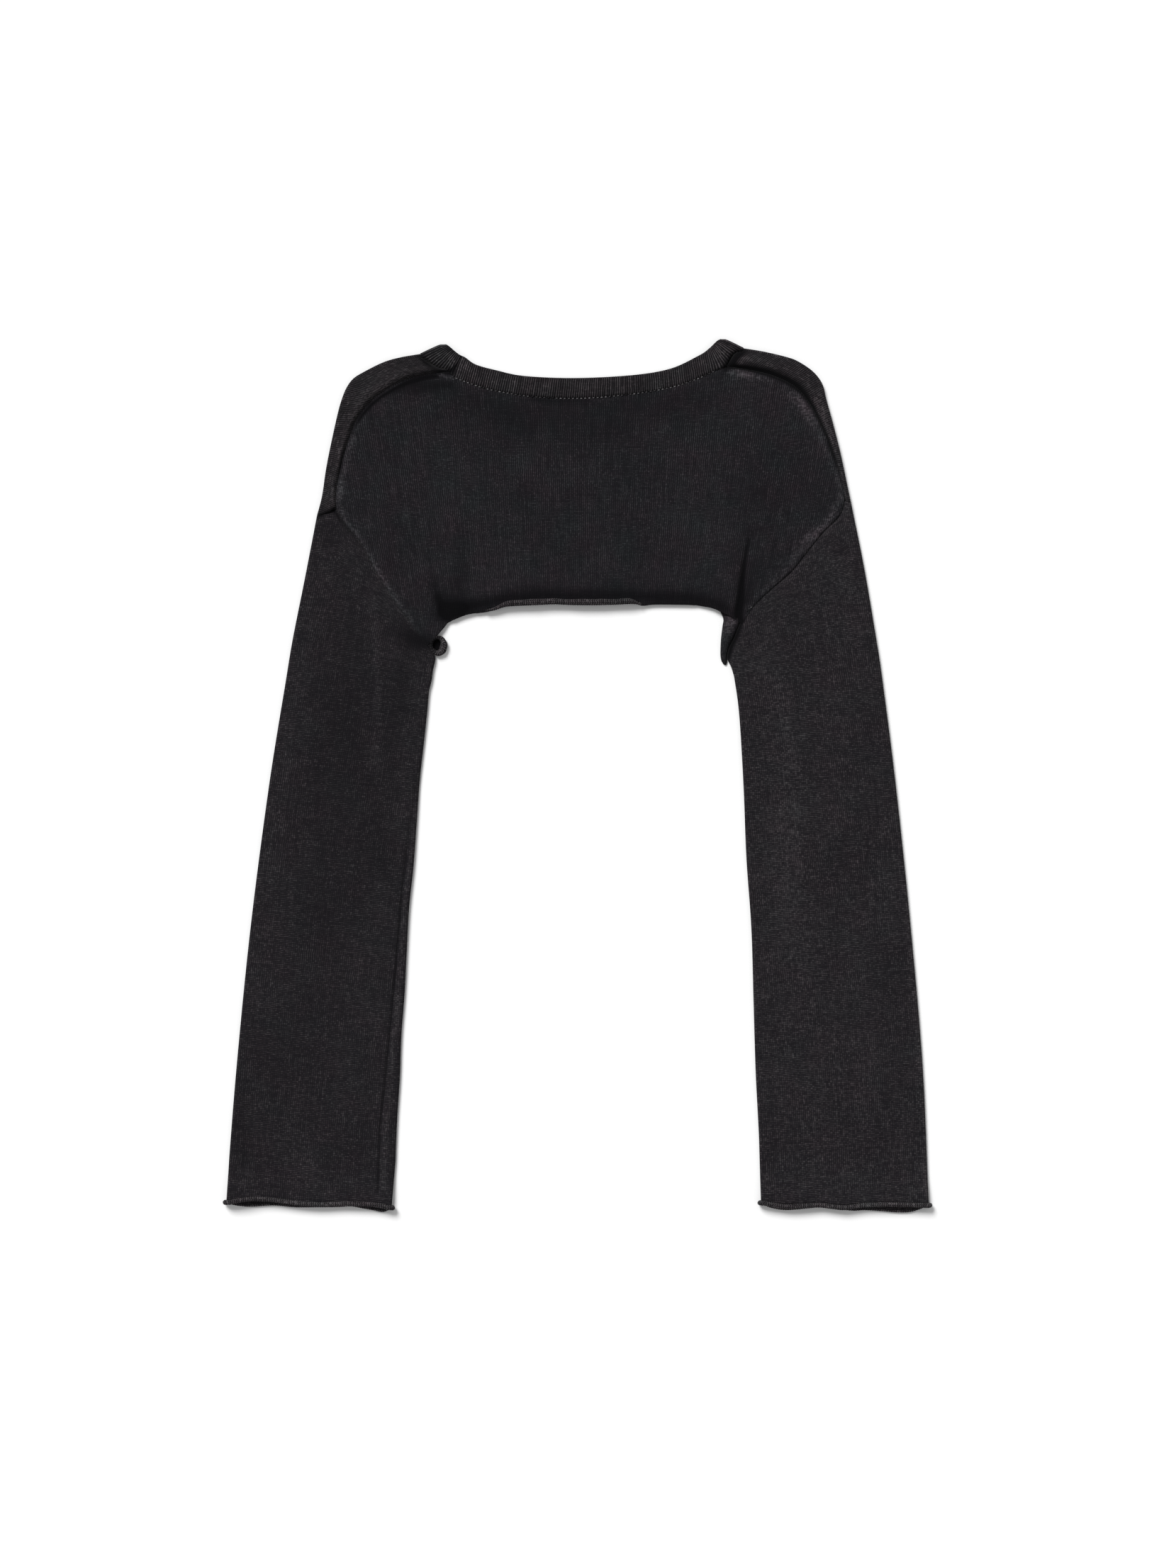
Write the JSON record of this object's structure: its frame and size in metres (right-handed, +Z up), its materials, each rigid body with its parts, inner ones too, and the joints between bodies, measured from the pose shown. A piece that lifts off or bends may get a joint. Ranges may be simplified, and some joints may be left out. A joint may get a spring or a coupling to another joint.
{
  "type": "cropped sweater",
  "caption": "Fine-gauge knitted cropped sweater laid flat, back up, with long sleeves, a ribbed neckband and rolled edges.",
  "frame": {"origin": "centre of the garment's plan box, on the surface it lies on", "axes": "+X across the garment to the viewer's right, +Y from the cuffs up to the neck, +Z up"},
  "size_m": [0.6, 0.7388, 0.0093],
  "materials": {
    "body_knit": "washed, faded black stockinette, matt",
    "sleeve_knit": "washed, faded black stockinette, matt",
    "band_knit": "faded black 1x1 rib with lighter rib crests, matt"
  },
  "bodies": {
    "root": {"back_panel": "body_knit", "front_panel": "body_knit", "left_sleeve": "sleeve_knit", "right_sleeve": "sleeve_knit", "neckband": "band_knit"}
  },
  "joints": []
}
